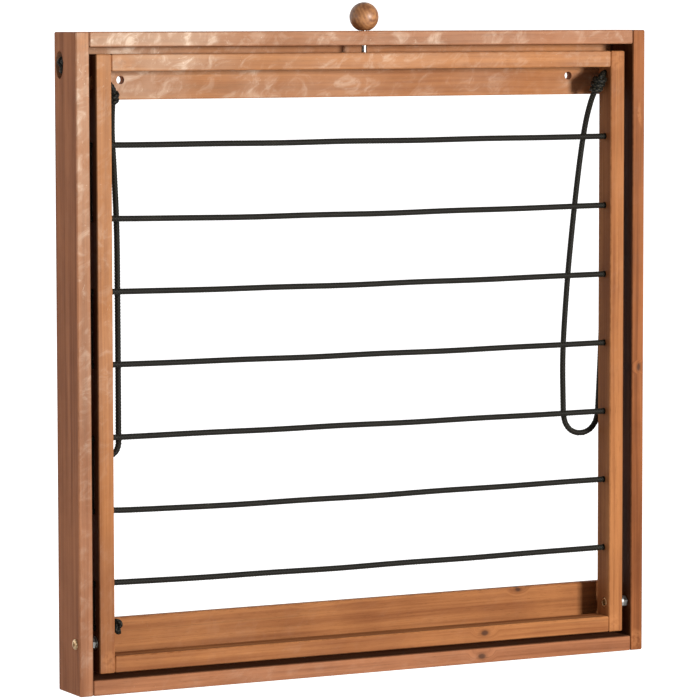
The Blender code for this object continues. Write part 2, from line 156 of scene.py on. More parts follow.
def blend_colour(material, share, under, over):
    made = material.node_tree.nodes.new("ShaderNodeMix")
    made.data_type = "RGBA"
    plug(material, made.inputs[0], share)
    plug(material, made.inputs[6], under)
    plug(material, made.inputs[7], over)
    return Value(material, made.outputs[2])


def new_finish(name):
    material = bpy.data.materials.new(name)
    material.use_nodes = True
    return material, material.node_tree.nodes["Principled BSDF"].inputs


def screen_colour(red, green, blue):
    """A screen colour, 0 to 255, as the linear colour that shaders use."""
    return tuple(((part / 255 + 0.055) / 1.055) ** 2.4 if part > 10 else part / 3295
                 for part in (red, green, blue))


def object_place(material):
    return node(material, "ShaderNodeTexCoord", output=3)


def noise(material, at, scale, detail=3.0, roughness=0.55, distortion=0.0):
    return node(material, "ShaderNodeTexNoise",
                {"Vector": at, "Scale": scale, "Detail": detail, "Roughness": roughness,
                 "Distortion": distortion})


def stretched(material, at, turn, offset, scale):
    """Object space turned so that X runs along a bar, moved, and then scaled on each axis."""
    turned = node(material, "ShaderNodeMapping", {"Vector": at, "Rotation": turn, "Location": offset})
    return node(material, "ShaderNodeMapping", {"Vector": turned, "Scale": scale})


# The stays: a slack rope on each side, from its knot in the side board, down behind the rack and up
# to a knot at the stile's top. Each is two halves that meet at the bottom of the loop, because the
# rope's two ends ride on different frames.
CORD = 0.0055
STAY_ROUTES = {
    "right": {
        "wall_leg": [(0.2912, 0.0345, 0.0305), (0.2882, 0.0345, 0.0305), (0.2824, 0.0344, 0.0356),
                     (0.2796, 0.0342, 0.0470), (0.2790, 0.0340, 0.0900), (0.2786, 0.0336, 0.1700),
                     (0.2774, 0.0334, 0.2500), (0.2750, 0.0334, 0.3200), (0.2722, 0.0336, 0.3799)],
        "wall_tip": [(0.2722, 0.0336, 0.3799), (0.2698, 0.0338, 0.3894), (0.2635, 0.0340, 0.3969),
                     (0.2555, 0.0340, 0.3999), (0.2525, 0.0340, 0.3999)],
        "rack_tip": [(0.2525, 0.0340, 0.3999), (0.2495, 0.0340, 0.3999), (0.2415, 0.0340, 0.3969),
                     (0.2352, 0.0340, 0.3894), (0.2328, 0.0340, 0.3799)],
        "rack_leg": [(0.2328, 0.0340, 0.3799), (0.2322, 0.0340, 0.3200), (0.2368, 0.0340, 0.2500),
                     (0.2436, 0.0340, 0.1850), (0.2500, 0.0328, 0.1300), (0.2538, 0.0285, 0.0930),
                     (0.2556, 0.0210, 0.0705), (0.2570, 0.0150, 0.0590)],
    },
    "left": {
        "wall_leg": [(0.2912, 0.0345, 0.0305), (0.2884, 0.0345, 0.0305), (0.2832, 0.0344, 0.0352),
                     (0.2808, 0.0342, 0.0470), (0.2813, 0.0344, 0.0900), (0.2826, 0.0349, 0.1700),
                     (0.2839, 0.0354, 0.2500), (0.2851, 0.0358, 0.3240), (0.2862, 0.0362, 0.3862)],
        "wall_tip": [(0.2862, 0.0362, 0.3862), (0.2840, 0.0362, 0.3924), (0.2783, 0.0362, 0.3968),
                     (0.2716, 0.0362, 0.3987), (0.2675, 0.0362, 0.3987)],
        "rack_tip": [(0.2675, 0.0362, 0.3987), (0.2634, 0.0362, 0.3987), (0.2567, 0.0362, 0.3968),
                     (0.2510, 0.0362, 0.3924), (0.2488, 0.0362, 0.3862)],
        "rack_leg": [(0.2488, 0.0362, 0.3862), (0.2490, 0.0356, 0.3240), (0.2494, 0.0350, 0.2500),
                     (0.2502, 0.0342, 0.1850), (0.2534, 0.0320, 0.1300), (0.2572, 0.0275, 0.0980),
                     (0.2598, 0.0215, 0.0775), (0.2610, 0.0175, 0.0670)],
    },
}


def smooth_path(points, spacing):
    """Points about spacing apart on a Catmull-Rom curve through the route's own points."""
    ends = [2 * points[0] - points[1], *points, 2 * points[-1] - points[-2]]
    path = []
    for a, b, c, d in zip(ends, ends[1:], ends[2:], ends[3:]):
        count = max(1, round((c - b).length / spacing))
        for step in range(count):
            t = step / count
            path.append(0.5 * (2 * b + (c - a) * t + (2 * a - 5 * b + 4 * c - d) * t ** 2
                               + (3 * b - a - 3 * c + d) * t ** 3))
    return path + [points[-1]]


def braided_finish():
    """Black polyester braid: near black, a little olive, paler on the crowns of the strands."""
    material, shader = new_finish("braided_cord")
    at = object_place(material)
    crown = node(material, "ShaderNodeAttribute", attribute_name="crown", output=2)
    uneven = noise(material, at, 90.0, 3.0)
    lit = crown.ramp(0.35, 0.95) * (0.55 + 0.45 * uneven)
    shader_colour = blend_colour(material, lit, screen_colour(6, 6, 4), screen_colour(52, 47, 36))
    dusty = noise(material, at, 26.0, 4.0).ramp(0.55, 0.75)
    shader_colour = blend_colour(material, dusty * lit * 0.30, shader_colour, screen_colour(92, 84, 66))
    plug(material, shader["Base Color"], shader_colour)
    plug(material, shader["Roughness"], 0.62 - 0.14 * lit)
    fibre = noise(material, at, 2600.0, 2.0)
    bump = node(material, "ShaderNodeBump", {"Strength": 0.35, "Distance": 0.0002, "Height": fibre})
    plug(material, shader["Normal"], bump)
    shader["Specular IOR Level"].default_value = 0.18
    return material


def geometry_tree(name, inputs):
    """An empty Geometry Nodes tree with named inputs, as (tree, its input node's outputs, its output)."""
    tree = bpy.data.node_groups.new(name, "GeometryNodeTree")
    tree.interface.new_socket("Geometry", in_out="INPUT", socket_type="NodeSocketGeometry")
    for label, kind, value in inputs:
        socket = tree.interface.new_socket(label, in_out="INPUT", socket_type=kind)
        if value is not None:
            socket.default_value = value
    tree.interface.new_socket("Geometry", in_out="OUTPUT", socket_type="NodeSocketGeometry")
    given = tree.nodes.new("NodeGroupInput")
    result = tree.nodes.new("NodeGroupOutput")
    return tree, given.outputs, result.inputs["Geometry"]


def tree_node(tree, kind, inputs=None, **settings):
    """A node of a Geometry Nodes tree; its inputs are numbers, vectors or other nodes' outputs."""
    made = tree.nodes.new(kind)
    for name, value in settings.items():
        setattr(made, name, value)
    for name, value in (inputs or {}).items():
        if isinstance(value, bpy.types.NodeSocket):
            tree.links.new(value, made.inputs[name])
        else:
            made.inputs[name].default_value = value
    return made


def tree_sum(tree, operation, *values):
    return tree_node(tree, "ShaderNodeMath", dict(enumerate(values)), operation=operation).outputs[0]


def build_braid_tree():
    """A braid along a line: two sets of strands wind round the cord and cross, which leaves small
    raised crowns in a diamond pattern."""
    tree, given, result = geometry_tree("braid", (
        ("Diameter", "NodeSocketFloat", CORD), ("Crowns", "NodeSocketFloat", 5.0),
        ("Lay", "NodeSocketFloat", 0.0150), ("Relief", "NodeSocketFloat", 0.00055),
        ("Step", "NodeSocketFloat", 0.0006), ("Finish", "NodeSocketMaterial", None)))
    line = tree_node(tree, "GeometryNodeMeshToCurve", {"Mesh": given["Geometry"]}).outputs["Curve"]
    line = tree_node(tree, "GeometryNodeResampleCurve", {"Curve": line, "Length": given["Step"]},
                     mode="LENGTH").outputs["Curve"]
    along = tree_node(tree, "GeometryNodeSplineParameter").outputs["Length"]
    keep_along = tree_node(tree, "GeometryNodeCaptureAttribute", {"Geometry": line})
    keep_along.capture_items.new("FLOAT", "along")
    tree.links.new(along, keep_along.inputs["along"])
    bare = tree_sum(tree, "SUBTRACT", tree_sum(tree, "MULTIPLY", given["Diameter"], 0.5),
                    tree_sum(tree, "MULTIPLY", given["Relief"], 0.6))
    ring = tree_node(tree, "GeometryNodeCurvePrimitiveCircle", {"Resolution": 30, "Radius": bare})
    around = tree_node(tree, "GeometryNodeSplineParameter").outputs["Factor"]
    keep_around = tree_node(tree, "GeometryNodeCaptureAttribute", {"Geometry": ring.outputs["Curve"]})
    keep_around.capture_items.new("FLOAT", "around")
    tree.links.new(around, keep_around.inputs["around"])
    tube = tree_node(tree, "GeometryNodeCurveToMesh",
                     {"Curve": keep_along.outputs["Geometry"],
                      "Profile Curve": keep_around.outputs["Geometry"], "Fill Caps": True}).outputs["Mesh"]
    turns = tree_sum(tree, "MULTIPLY", keep_around.outputs["around"], given["Crowns"])
    steps = tree_sum(tree, "MULTIPLY", given["Crowns"],
                     tree_sum(tree, "DIVIDE", keep_along.outputs["along"], given["Lay"]))
    strands = []
    for operation in ("ADD", "SUBTRACT"):
        angle = tree_sum(tree, "MULTIPLY", tree_sum(tree, operation, turns, steps), math.pi)
        strands.append(tree_sum(tree, "ABSOLUTE", tree_sum(tree, "SINE", angle)))
    crown = tree_sum(tree, "POWER", tree_sum(tree, "MULTIPLY", *strands), 0.6)
    rise = tree_sum(tree, "MULTIPLY", crown, given["Relief"])
    normal = tree_node(tree, "GeometryNodeInputNormal").outputs["Normal"]
    offset = tree_node(tree, "ShaderNodeVectorMath", {0: normal, "Scale": rise}, operation="SCALE")
    raised = tree_node(tree, "GeometryNodeSetPosition",
                       {"Geometry": tube, "Offset": offset.outputs[0]}).outputs["Geometry"]
    marked = tree_node(tree, "GeometryNodeStoreNamedAttribute",
                       {"Geometry": raised, "Name": "crown", "Value": crown},
                       data_type="FLOAT", domain="POINT").outputs["Geometry"]
    shaded = tree_node(tree, "GeometryNodeSetShadeSmooth", {"Geometry": marked}).outputs[0]
    whole = tree_node(tree, "GeometryNodeRealizeInstances", {"Geometry": shaded}).outputs[0]
    done = tree_node(tree, "GeometryNodeSetMaterial",
                     {"Geometry": whole, "Material": given["Finish"]}).outputs[0]
    tree.links.new(done, result)
    return tree


def run_tree(name, mesh, tree, values):
    """The mesh that a tree makes from a guide mesh, as a new plain piece."""
    guide = add_piece(name + "_guide", mesh)
    modifier = guide.modifiers.new("tree", "NODES")
    modifier.node_group = tree
    for item in tree.interface.items_tree:
        if item.item_type == "SOCKET" and item.in_out == "INPUT" and item.name in values:
            modifier[item.identifier] = values[item.name]
    bpy.context.view_layer.update()
    grown = bpy.data.meshes.new_from_object(guide.evaluated_get(bpy.context.evaluated_depsgraph_get()))
    guide.modifiers.clear()
    bpy.data.objects.remove(guide)
    grown.name = name
    return add_piece(name, grown)


def line_mesh(name, path):
    mesh = bpy.data.meshes.new(name)
    mesh.from_pydata([tuple(point) for point in path], [(i, i + 1) for i in range(len(path) - 1)], [])
    return mesh


braid = build_braid_tree()
black_braid = braided_finish()


def braided(name, path, diameter=CORD, **sizes):
    values = {"Diameter": diameter, "Finish": black_braid, **sizes}
    return run_tree(name, line_mesh(name, path), braid, values)


def joined(name, pieces):
    """Several plain pieces as one."""
    whole = bmesh.new()
    for piece in pieces:
        whole.from_mesh(piece.data)
    mesh = bpy.data.meshes.new(name)
    whole.to_mesh(mesh)
    whole.free()
    finish = pieces[0].data.materials[0]
    for piece in pieces:
        bpy.data.objects.remove(piece)
    return add_piece(name, mesh, finish)


stays = {}
for side, sign in (("left", -1), ("right", 1)):
    route = {name: [place(sign * x, depth, drop) for x, depth, drop in points]
             for name, points in STAY_ROUTES[side].items()}
    for half, names in (("wall", ("wall_leg", "wall_tip")), ("rack", ("rack_tip", "rack_leg"))):
        first, second = (smooth_path(route[name], 0.004) for name in names)
        path = first + second[1:]
        stay = braided(f"stay_{half}_half_{side}", path)
        exit_end, bottom = (path[0], path[-1]) if half == "wall" else (path[-1], path[0])
        length = sum((b - a).length for a, b in zip(path, path[1:]))
        stays[half, side] = (stay, exit_end, length, path)
        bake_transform(stay)
        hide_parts(f"stay_{half}_leg_{side}", f"stay_{half}_tip_{side}")


# Knots. Each stay ends in the side board's pocket in an overhand knot, and at the stile in a barrel
# knot whose turns wrap its own standing part. They are the same cord, drawn tight and so a little thin.
def overhand_path(centre, across, along, size, tail, count=72):
    """An overhand knot round the along axis: a three-lobed path, with its free end out to one side."""
    third = along.cross(across)
    path = []
    for step in range(count + 1):
        t = 0.35 + (2 * math.pi - 0.70) * step / count
        x = math.sin(t) + 2 * math.sin(2 * t)
        y = math.cos(t) - 2 * math.cos(2 * t)
        z = -1.25 * math.sin(3 * t)
        path.append(centre + size * (across * x + third * y + along * z) / 3)
    return [*path, path[-1] + tail]


def barrel_path(centre, along, across, radius, pitch, turns, count=24):
    """A cord wound in a helix of that many turns along an axis."""
    third = along.cross(across)
    steps = int(turns * count)
    path = []
    for step in range(steps + 1):
        angle = 2 * math.pi * step / count
        rise = pitch * (step / count - turns / 2)
        path.append(centre + along * rise + radius * (across * math.cos(angle) + third * math.sin(angle)))
    return path


STAY_HOLE_DROP = {"left": 0.047, "right": 0.042}
# Each hitch as its coil's radius, pitch and number of turns.
HITCH = {"left": (0.0036, 0.0050, 2.2), "right": (0.0045, 0.0050, 2.7)}
side_boards = {"left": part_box("frame_side_left"), "right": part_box("frame_side_right")}
stiles = {"left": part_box("rack_stile_left"), "right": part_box("rack_stile_right")}
up = Vector((0, 0, 1))
for side, sign in (("left", -1), ("right", 1)):
    outwards = Vector((sign, 0, 0))
    low, high = (Vector(corner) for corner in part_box(f"stay_wall_knot_{side}"))
    bore = place(0, 0.0345, 0.0305)
    inner_face = side_boards[side][0 if side == "right" else 1][0]
    outer_end = high.x if side == "right" else low.x
    heart = Vector((outer_end - sign * 0.0037, (low.y + high.y) / 2, (low.z + high.z) / 2))
    tail = [Vector((heart.x, bore.y, bore.z)), Vector((inner_face, bore.y, bore.z))]
    crown_knot = braided(f"wall_knot_{side}_turns",
                         overhand_path(heart, up, outwards, 0.0066, up * -0.0040), 0.0046,
                         Crowns=4.0, Relief=0.00042)
    through = braided(f"wall_knot_{side}_tail", smooth_path(tail, 0.002))
    knot = joined(f"stay_wall_stopper_{side}", [crown_knot, through])
    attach(knot, "wall_frame")
    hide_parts(f"stay_wall_knot_{side}")

    stay, start, length, path = stays["rack", side]
    inwards = (path[-1] - path[-2]).normalized()
    face = stiles[side][0 if side == "right" else 1][0]
    hole = Vector((face, place(0, 0.012, 0).y, place(0, 0, STAY_HOLE_DROP[side]).z))
    heart = start + inwards * 0.0080
    across = inwards.cross(Vector((0, 1, 0))).normalized()
    turns = braided(f"rack_knot_{side}_turns",
                    barrel_path(heart, inwards, across, *HITCH[side]), 0.0050, Crowns=4.0, Relief=0.00042)
    core = braided(f"rack_knot_{side}_core",
                   smooth_path([start, start + inwards * 0.005, heart + inwards * 0.006,
                                hole - outwards * 0.001, hole + outwards * 0.0085], 0.002))
    knot = joined(f"stay_rack_hitch_{side}", [turns, core])
    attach(knot, "rack")
    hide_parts(f"stay_rack_knot_{side}")

    for half, mate in (("wall", f"stay_wall_stopper_{side}"), ("rack", f"stay_rack_hitch_{side}")):
        stay, exit_end, length, path = stays[half, side]


# The drying line: one cord laced back and forth through the stiles. Each run sags a little, no two
# alike. It turns tight round the outside of the stiles and ends in a stopper knot at the lower left.
LINES = 7
LINE_DEPTH = 0.012
FIRST_LINE_DROP = 0.1045
LINE_PITCH = 0.0681
TAIL_DROP = 0.5545
STOPPER_POCKET = 0.007
rack_left, rack_right = stiles["left"][0][0], stiles["right"][1][0]
stile_width = stiles["left"][1][0] - rack_left


def line_drop(number):
    return FIRST_LINE_DROP + number * LINE_PITCH


def line_path(number):
    sag = 0.0006 + 0.0005 * (number * 3 % 4)
    lean = 0.34 + 0.06 * (number % 5)
    right = rack_right - (STOPPER_POCKET if number == 0 else 0)
    points = []
    for step in range(65):
        share = step / 64
        free = max(0.0, min(1.0, (share - 0.03) / 0.94))
        hang = math.sin(math.pi * free ** (math.log(0.5) / math.log(lean)))
        kink = 0.00025 * math.sin(23 * share + number * 1.7) * math.sin(math.pi * free)
        points.append(place(rack_left + (right - rack_left) * share, LINE_DEPTH,
                            line_drop(number) + sag * hang + kink))
    return points


def turn_path(side, start, end, inwards):
    sign, face = (-1, rack_left) if side == "left" else (1, rack_right)
    bend = 0.0027
    quarter = [math.radians(7.5 * step) for step in range(13)]
    out = [(0.0, 0.0)] + [(0.0004 + bend * math.sin(turn), bend * (1 - math.cos(turn))) for turn in quarter]
    points = [place(face + sign * x, LINE_DEPTH, start + down) for x, down in out]
    points += [place(face + sign * x, LINE_DEPTH, end - down) for x, down in reversed(out)]
    if inwards:
        points.append(place(face - sign * inwards, LINE_DEPTH, end))
    return points


for number in range(LINES):
    run = braided(f"drying_line_{number + 1}", line_path(number))
    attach(run, "rack")
    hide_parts(f"line_{number + 1}")
for number in range(LINES - 1):
    side = "left" if number % 2 == 0 else "right"
    turn = braided(f"lacing_{number + 1}", turn_path(side, line_drop(number), line_drop(number + 1), 0))
    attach(turn, "rack")
    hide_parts(f"line_turn_{number + 1}")
tail = braided("lacing_tail", turn_path("left", line_drop(LINES - 1), TAIL_DROP, stile_width))
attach(tail, "rack")
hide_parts("line_tail")
for name, node_name, size, thick, tail in (
        ("line_end_stopper", "line_end_knot", 0.0058, 0.0044, Vector((0, -0.002, -0.004))),
        ("line_start_stopper", "line_start_knot", 0.0046, 0.0030, Vector((0, 0, 0.001)))):
    low, high = (Vector(corner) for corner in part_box(node_name))
    stopper = braided(name, overhand_path((low + high) / 2, up, Vector((1, 0, 0)), size, tail),
                      thick, Crowns=4.0, Relief=0.00042)
    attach(stopper, "rack")
    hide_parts(node_name)


# Timber: reddish brown stain on straight-grained softwood, unevenly taken up, with fine fibres,
# short pores, a few knots, pale worn edges, and whitish scuffs on the fronts, partly real and partly painted
# sheen.
# Grain follows each bar, and every bar is cut from a different place in the pattern. Faces inside
# the gaps get painted shade in the finish itself, and fronts get a painted sheen, paler towards the upper
# left.
def spots(material, across, up_, places):
    """1 at the heart of each spot and 0 outside it. A spot is (x, z, half width, half height)."""
    whole = 0.0
    for x, z, wide, tall in places:
        off = ((across - x) * (1 / wide)) ** 2 + ((up_ - z) * (1 / tall)) ** 2
        one = off.ramp(0.15, 1.0, 1.0, 0.0)
        whole = one if isinstance(whole, float) else whole.atleast(one)
    return whole


def timber_finish(name, pale, deep, upright, seed, scuff_sheen_level=0.3, knots=(), filler=(), painted_gap_shade=()):
    material, shader = new_finish(name)
    at = object_place(material)
    parts = material.node_tree.nodes.new("ShaderNodeSeparateXYZ")
    plug(material, parts.inputs[0], at)
    x, z = Value(material, parts.outputs[0]), Value(material, parts.outputs[2])
    wobble = noise(material, at, 40.0, 2.0) - 0.5
    across, up_ = x + wobble * 0.004, z + wobble * 0.004
    knot = spots(material, across, up_, knots)
    bend = spots(material, x, z, [(kx, kz, 3.4 * (kt if upright else kw), 3.4 * (kw if upright else kt))
                                  for kx, kz, kw, kt in knots])
    lean = node(material, "ShaderNodeCombineXYZ",
                {0 if upright else 2: bend * 0.006 + (noise(material, at, 3.0, 1.0) - 0.5) * 0.010})
    bent = node(material, "ShaderNodeVectorMath", {0: at, 1: lean}, operation="ADD")
    turn = (0, math.pi / 2, 0) if upright else (0, 0, 0)

    def grain(length, width, detail=3.0, roughness=0.55):
        return noise(material, stretched(material, bent, turn, (0.37 * seed, 0.21 * seed, 0.13 * seed),
                                         (1 / length, 1 / width, 1 / width)), 1.0, detail, roughness)

    bands = grain(0.42, 0.0085, 2.0)
    streaks = grain(0.16, 0.0026, 3.0)
    fibres = grain(0.030, 0.00055, 2.0)
    pores = grain(0.008, 0.00038, 1.0).ramp(0.66, 0.74)
    blotch = noise(material, at, 7.0 + seed % 3, 4.0, 0.6, 0.4)
    tone = (bands * 0.42 + streaks * 0.34 + blotch * 0.30).ramp(0.36, 0.70)
    colour = blend_colour(material, tone, deep, pale)
    late = streaks.ramp(0.56, 0.72) * 0.34 + fibres.ramp(0.50, 0.75) * 0.20 + pores * 0.35
    colour = blend_colour(material, late.upto(0.8), colour, tuple(part * 0.42 for part in deep))
    ring = (spots(material, across, up_, [(kx, kz, 1.7 * kw, 1.7 * kt) for kx, kz, kw, kt in knots])
            if knots else 0.0)
    if knots:
        colour = blend_colour(material, ring * 0.45, colour, tuple(part * 0.55 for part in deep))
        colour = blend_colour(material, knot * 0.85, colour, screen_colour(66, 36, 22))
    if filler:
        patch = spots(material, x + wobble * 0.012, z + wobble * 0.012, filler)
        patch = patch * noise(material, at, 260.0, 3.0).ramp(0.35, 0.55)
        colour = blend_colour(material, patch * 0.24, colour, screen_colour(206, 138, 86))
    rubbed = stretched(material, at, (0.3, 0.5, 0.2), (seed, 0, 0), (48, 66, 74))
    chalk = noise(material, rubbed, 1.0, 5.0, 0.64, 0.9).ramp(0.46, 0.78)
    haze = noise(material, at, 11.0, 4.0, 0.6, 0.3).ramp(0.34, 0.72)
    geometry = material.node_tree.nodes.new("ShaderNodeNewGeometry")
    facing = node(material, "ShaderNodeVectorMath", {0: Value(material, geometry.outputs["True Normal"])},
                  operation="ABSOLUTE")
    sides = material.node_tree.nodes.new("ShaderNodeSeparateXYZ")
    plug(material, sides.inputs[0], facing)
    front = Value(material, sides.outputs[1]).ramp(0.5, 0.9, 0.03, 1.0)
    # Painted sheen: a mask that is strongest at the upper left of the fronts, as if lit there; it also sets
    # where scuffs show.
    painted_sheen = x.ramp(-0.31, 0.16, 1.0, 0.30) * z.ramp(-0.42, -0.02, 0.32, 1.0)
    scuffs_and_sheen = (haze * (0.30 + 0.80 * chalk) + chalk * 0.30) * scuff_sheen_level * front * painted_sheen
    drawn = stretched(material, at, (0.2, 0.9, 0.4), (0, seed, 0), (14, 700, 160))
    scratch = noise(material, drawn, 1.0, 2.0, 0.5, 2.2).ramp(0.70, 0.76)
    # Painted sheen: fronts blended towards a pale tone, strongest at the upper left.
    colour = blend_colour(material, front * painted_sheen * (0.10 + 0.22 * scuff_sheen_level), colour,
                          screen_colour(206, 164, 128))
    # Whitish scuffs and scratches: partly real marks, partly painted sheen on the fronts.
    colour = blend_colour(material, (scuffs_and_sheen + scratch * front * painted_sheen * (0.2 + scuff_sheen_level) * 0.35).upto(0.75),
                          colour, screen_colour(236, 212, 188))
    total = node(material, "ShaderNodeVectorMath", {0: facing, 1: (1.0, 1.0, 1.0)}, output=1,
                 operation="DOT_PRODUCT")
    edge = total.ramp(1.12, 1.34) * noise(material, at, 120.0, 4.0).ramp(0.38, 0.58)
    colour = blend_colour(material, edge * 0.22, colour, tuple(min(1.0, part * 1.5 + 0.02) for part in pale))
    # Painted shade: faces inside the gaps between the frames are blended towards near black, as if in shade.
    for direction, level, strength in painted_gap_shade:
        off = abs((x if direction == "x" else z) - level)
        colour = blend_colour(material, off.ramp(0.0004, 0.0011, strength, 0.0), colour,
                              screen_colour(34, 14, 8))
    plug(material, shader["Base Color"], colour)
    plug(material, shader["Roughness"],
         (0.50 + 0.18 * blotch + 0.10 * fibres + 0.14 * scuffs_and_sheen - 0.12 * knot).upto(0.9))
    shader["Specular IOR Level"].default_value = 0.08
    height = fibres * 0.5 + streaks * 0.35 - pores * 0.8 - knot * 0.3
    plug(material, shader["Normal"],
         node(material, "ShaderNodeBump", {"Strength": 0.35, "Distance": 0.0005, "Height": height}))
    return material


def finish_nodes(finish, *names):
    for name in names:
        mesh = bpy.data.objects[name].data
        mesh.materials.clear()
        mesh.materials.append(finish)


ROSY = screen_colour(170, 110, 74), screen_colour(122, 70, 42)
TAWNY = screen_colour(178, 116, 68), screen_colour(132, 76, 40)
RUSSET = screen_colour(160, 96, 54), screen_colour(108, 58, 28)
board_x = side_boards["right"][1][0]
frame_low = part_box("frame_rail_bottom")[0][2]
rack_top, rack_low = stiles["left"][1][2], stiles["left"][0][2]
# After the seed comes each bar's amount of scuffs and painted sheen; the last entry, where there is one,
# lists its faces with painted shade in the gaps, as (axis, plane, strength).
bars = (
    ("frame_side_left", *ROSY, True, 1, 0.75, (), ((rack_left - 0.012, top_edge - 0.010, 0.007, 0.010),),
     (("x", side_boards["left"][1][0], 0.6),)),
    ("frame_side_right", *RUSSET, True, 2, 0.14, ((board_x - 0.006, -0.295, 0.0022, 0.0045),),
     ((board_x - 0.008, frame_low + 0.012, 0.009, 0.012), (board_x - 0.005, -0.045, 0.003, 0.016)),
     (("x", side_boards["right"][0][0], 0.6),)),
    ("frame_rail_top", *ROSY, False, 3, 1.1, (), ()),
    ("frame_rail_bottom", *ROSY, False, 4, 0.45, ((0.122, frame_low + 0.007, 0.0052, 0.0034),), (),
     (("z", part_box("frame_rail_bottom")[1][2], 0.7),)),
    ("rack_stile_left", *TAWNY, True, 5, 0.35, (), ((rack_left + 0.010, rack_low + 0.012, 0.010, 0.012),),
     (("x", rack_left, 0.7),)),
    ("rack_stile_right", *TAWNY, True, 6, 0.16, (),
     ((rack_right - 0.010, rack_top - 0.009, 0.011, 0.010),
      (rack_right - 0.010, rack_low + 0.010, 0.009, 0.010)),
     (("x", rack_right, 0.6), ("x", stiles["right"][0][0], 0.22))),
    ("rack_rail_top", *TAWNY, False, 7, 0.85, (),
     ((rack_left + stile_width + 0.012, rack_top - 0.008, 0.016, 0.009),)),
    ("rack_rail_bottom", *TAWNY, False, 8, 0.22, ((0.125, rack_low + 0.009, 0.0050, 0.0030),), (),
     (("z", rack_low, 0.6),)),
    ("wall_batten_top", *TAWNY, False, 9, 0.70, (), ()),
    ("wall_batten_bottom", *TAWNY, False, 10, 0.25,
     ((-0.048, -0.508, 0.0055, 0.0034), (0.186, -0.515, 0.0042, 0.0030)), ()),
)
for name, *looks in bars:
    finish_nodes(timber_finish("timber_" + name, *looks), name)
beech, shader = new_finish("beech_dowel")
fluting = noise(beech, stretched(beech, object_place(beech), (0, 0, 0), (0, 0, 0), (30, 600, 600)), 1.0)
plug(beech, shader["Base Color"],
     blend_colour(beech, fluting, screen_colour(196, 160, 118), screen_colour(224, 192, 150)))
plug(beech, shader["Roughness"], 0.6 + 0.2 * fluting)
finish_nodes(beech, *(f"{body}_dowel_{number}" for body in ("frame", "rack") for number in (1, 2, 3, 4)))


# Pivots: a domed socket bolt through each side board, its nut and washer in the gap, and a threaded
# brass insert in the stile. They are turned parts, so each is a profile spun about the bolt's axis.
def turned(name, origin, axis, profile, finish, sides=48, creased=40.0):
    """A closed piece spun from (distance along the axis, radius) points that start and end on the axis
    or, where they don't, join up as a ring."""
    axis = axis.normalized()
    first = axis.orthogonal().normalized()
    second = axis.cross(first)
    solid = bmesh.new()
    rings = []
    for along, radius in profile:
        if radius < 1e-6:
            rings.append([solid.verts.new(origin + axis * along)])
            continue
        rings.append([solid.verts.new(origin + axis * along + radius * (
            first * math.cos(2 * math.pi * step / sides) + second * math.sin(2 * math.pi * step / sides)))
            for step in range(sides)])
    closed = len(rings[0]) > 1
    for one, other in zip(rings, rings[1:] + (rings[:1] if closed else [])):
        for step in range(sides):
            following = (step + 1) % sides
            corners = [one[step % len(one)], one[following % len(one)],
                       other[following % len(other)], other[step % len(other)]]
            corners = [corner for place_, corner in enumerate(corners) if corner not in corners[:place_]]
            if len(corners) > 2:
                solid.faces.new(corners)
    bmesh.ops.recalc_face_normals(solid, faces=solid.faces)
    for face in solid.faces:
        face.smooth = True
    for edge in solid.edges:
        if len(edge.link_faces) == 2 and edge.calc_face_angle() > math.radians(creased):
            edge.smooth = False
    mesh = bpy.data.meshes.new(name)
    solid.to_mesh(mesh)
    solid.free()
    return add_piece(name, mesh, finish)


def metal_finish(name, bright, dull, polish, worn):
    material, shader = new_finish(name)
    at = object_place(material)
    stain = noise(material, at, 420.0, 4.0, 0.6).ramp(0.40, 0.68)
    brushed = noise(material, stretched(material, at, (0, 0, 0), (0, 0, 0), (900, 6000, 6000)), 1.0, 2.0)
    plug(material, shader["Base Color"], blend_colour(material, stain * worn, bright, dull))
    plug(material, shader["Roughness"], polish + 0.22 * stain + 0.10 * brushed)
    shader["Metallic"].default_value = 1.0
    plug(material, shader["Normal"],
         node(material, "ShaderNodeBump", {"Strength": 0.2, "Distance": 0.0001, "Height": brushed + stain}))
    return material


zinc = metal_finish("zinc", screen_colour(206, 206, 202), screen_colour(140, 138, 132), 0.24, 0.7)
aged_brass = metal_finish("aged_brass", screen_colour(222, 190, 148), screen_colour(132, 100, 68), 0.32, 0.8)


def rounded(corner, bulge, steps=6):
    """A quarter turn of profile from the top of a rim in to its side: (along, radius) points."""
    return [(corner[0] + bulge * math.sin(math.pi / 2 * step / steps),
             corner[1] + bulge * (math.cos(math.pi / 2 * step / steps) - 1)) for step in range(steps + 1)]


